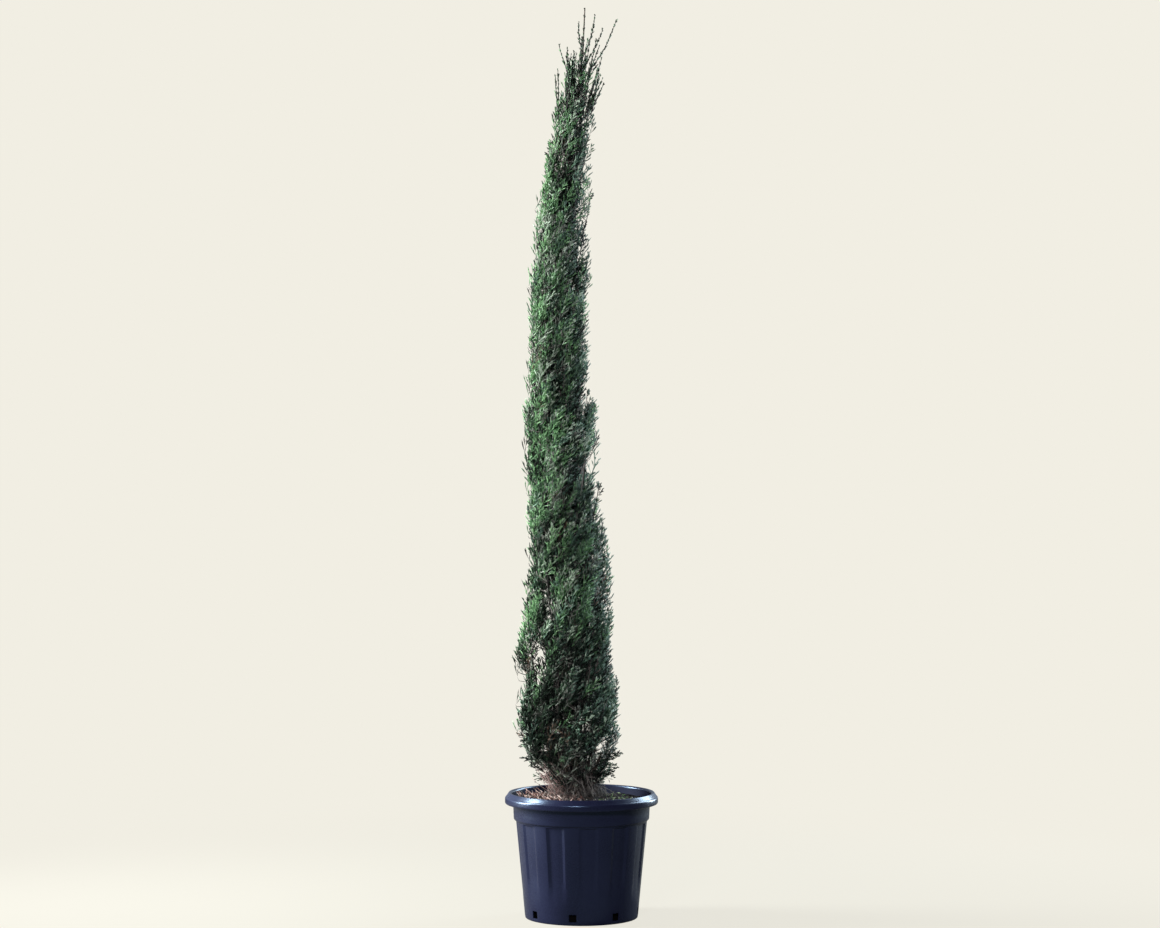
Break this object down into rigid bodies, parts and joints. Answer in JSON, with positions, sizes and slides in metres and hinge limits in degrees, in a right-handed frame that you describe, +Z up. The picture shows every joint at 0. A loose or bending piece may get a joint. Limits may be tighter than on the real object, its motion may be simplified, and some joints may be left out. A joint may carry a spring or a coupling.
{
  "type": "italian cypress tree in a nursery pot",
  "caption": "Slim columnar conifer, slightly bowed and about 2.1 m tall with its pot, with upright tufts round one trunk, standing in a black fluted plastic container.",
  "frame": {"origin": "centre of the pot's flat underside", "axes": "+Z up along the tree, +X to the right and -Y to the front as the plant is shown"},
  "size_m": [0.36, 0.36, 2.14],
  "materials": {
    "pot": "injection moulded, satin to gloss",
    "soil": "moist potting mix with litter and perlite",
    "bark": "thin fibrous grey-brown bark",
    "foliage": "matt scale leaves in fine sprays",
    "dry_foliage": "dead dry twigs and scale leaves"
  },
  "bodies": {
    "root": {"pot": "pot", "soil": "soil", "trunk": "bark", "bough_1": "bark", "bough_2": "bark", "bough_3": "bark", "bough_4": "bark", "bough_5": "bark", "bough_6": "bark", "bough_7": "bark", "bough_8": "bark", "thatch_front": "dry_foliage", "thatch_left": "dry_foliage", "thatch_right": "dry_foliage", "shoot_far_right": "foliage", "shoot_right": "foliage", "shoot_near_right": "foliage", "shoot_near_left": "foliage", "shoot_far_left": "foliage", "shoot_back": "foliage", "shoot_front": "foliage", "tuft_1_right": "foliage", "tuft_1_back": "foliage", "tuft_1_left": "foliage", "tuft_1_front": "foliage", "tuft_2_right": "foliage", "tuft_2_back": "foliage", "tuft_2_left": "foliage", "tuft_2_front": "foliage", "tuft_3_right": "foliage", "tuft_3_back": "foliage", "tuft_3_left": "foliage", "tuft_3_front": "foliage", "tuft_4_right": "foliage", "tuft_4_back": "foliage", "tuft_4_left": "foliage", "tuft_4_front": "foliage", "tuft_5_right": "foliage", "tuft_5_back": "foliage", "tuft_5_left": "foliage", "tuft_5_front": "foliage", "tuft_6_right": "foliage", "tuft_6_back": "foliage", "tuft_6_left": "foliage", "tuft_6_front": "foliage", "tuft_7_right": "foliage", "tuft_7_back": "foliage", "tuft_7_left": "foliage", "tuft_7_front": "foliage", "tuft_8_right": "foliage", "tuft_8_back": "foliage", "tuft_8_left": "foliage", "tuft_8_front": "foliage"}
  },
  "joints": []
}
